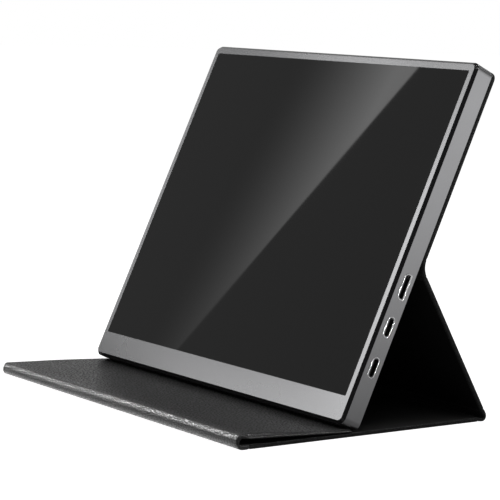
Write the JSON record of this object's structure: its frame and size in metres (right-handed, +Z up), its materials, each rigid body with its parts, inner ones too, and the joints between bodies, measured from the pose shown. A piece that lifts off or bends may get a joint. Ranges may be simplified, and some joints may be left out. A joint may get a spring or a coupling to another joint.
{
  "type": "portable monitor with cover",
  "caption": "Slim portable monitor leaning back in a folding leather cover: the cover wraps from its back to the table as a rear leg, a base and a front flap.",
  "frame": {"origin": "centre of the footprint on the table", "axes": "+X to the right along the screen, +Y from the screen towards the back, +Z up"},
  "size_m": [0.1928, 0.1358, 0.1571],
  "materials": {
    "bezel_metal": "satin brushed",
    "trim_dark": "polished",
    "frame_metal": "fine blasted",
    "housing_black": "fine texture",
    "screw_steel": "plain",
    "screen_glass": "gloss, dark when off",
    "panel_glass": "gloss",
    "film_white": "satin",
    "led_strip": "plain",
    "tray_steel": "pressed sheet",
    "circuit_board": "solder mask",
    "chip_black": "moulded",
    "flex_film": "film",
    "socket_metal": "bright nickel",
    "wire_jacket": "plain",
    "control_grey": "satin",
    "magnet_nickel": "nickel",
    "adhesive": "foam tape",
    "leather_skin": "fine grain",
    "cover_board": "paperboard",
    "cover_lining": "suede-like"
  },
  "bodies": {
    "base": {"base_panel_skin": "leather_skin", "base_panel_board": "cover_board", "base_panel_lining": "cover_lining", "heel_strip": "leather_skin", "nose_strip": "leather_skin"},
    "leg": {"leg_panel_skin": "leather_skin", "leg_panel_board": "cover_board", "leg_panel_lining": "cover_lining", "crease_strip": "leather_skin"},
    "monitor": {"front_bezel": "bezel_metal", "edge_trim": "trim_dark", "side_frame": "frame_metal", "rear_housing": "housing_black", "housing_screws": "screw_steel", "cover_glass": "screen_glass", "lcd_cell": "panel_glass", "optical_films": "film_white", "light_guide": "film_white", "led_bar": "led_strip", "reflector_sheet": "film_white", "backlight_tray": "tray_steel", "panel_driver_board": "circuit_board", "panel_flex": "flex_film", "main_board": "circuit_board", "board_chips": "chip_black", "heat_spreader": "tray_steel", "board_screws": "screw_steel", "display_cable": "flex_film", "usb_c_socket_lower": "socket_metal", "usb_c_socket_upper": "socket_metal", "mini_hdmi_socket": "socket_metal", "socket_tongues": "chip_black", "audio_socket": "chip_black", "speaker_left": "chip_black", "speaker_right": "chip_black", "speaker_wires": "wire_jacket", "button_board": "circuit_board", "tact_switches": "chip_black", "button_flex": "flex_film", "rocker_pin": "screw_steel", "casing_magnets": "magnet_nickel", "adhesive_sheet": "adhesive", "back_panel_skin": "leather_skin", "back_panel_board": "cover_board"},
    "flap": {"flap_panel_skin": "leather_skin", "flap_panel_board": "cover_board", "flap_panel_lining": "cover_lining", "flap_magnets": "magnet_nickel"},
    "power_button": {"power_button": "control_grey"},
    "menu_rocker": {"menu_rocker": "control_grey"}
  },
  "joints": [
    {"name": "heel_fold", "type": "hinge", "parent": "base", "child": "leg", "pos_m": [0, 0.06815, 0.0009], "axis": [-1, 0, 0], "range_deg": [0, 121.5], "deforming": ["heel_strip"]},
    {"name": "crease_fold", "type": "hinge", "parent": "leg", "child": "monitor", "pos_m": [0, 0.02616, 0.06916], "axis": [1, 0, 0], "range_deg": [0, 55.65], "deforming": ["crease_strip"]},
    {"name": "nose_fold", "type": "hinge", "parent": "base", "child": "flap", "pos_m": [0, -0.06508, 0.00287], "axis": [1, 0, 0], "range_deg": [0, 179.9], "deforming": ["nose_strip"]},
    {"name": "power_press", "type": "slide", "parent": "monitor", "child": "power_button", "axis": [1, 0, 0], "range_m": [0, 0.0004], "stiffness_N_per_m": 600},
    {"name": "rocker_tilt", "type": "hinge", "parent": "monitor", "child": "menu_rocker", "pos_m": [-0.0931, 0.00956, 0.04488], "axis": [0, 0.913, -0.408], "range_deg": [-4, 4], "stiffness_Nm_per_rad": 0.05}
  ],
  "couplings": [
    {"joint": "crease_fold", "follows": "heel_fold", "ratio": 0.45761},
    {"joint": "nose_fold", "follows": "heel_fold", "ratio": 1.4798}
  ]
}
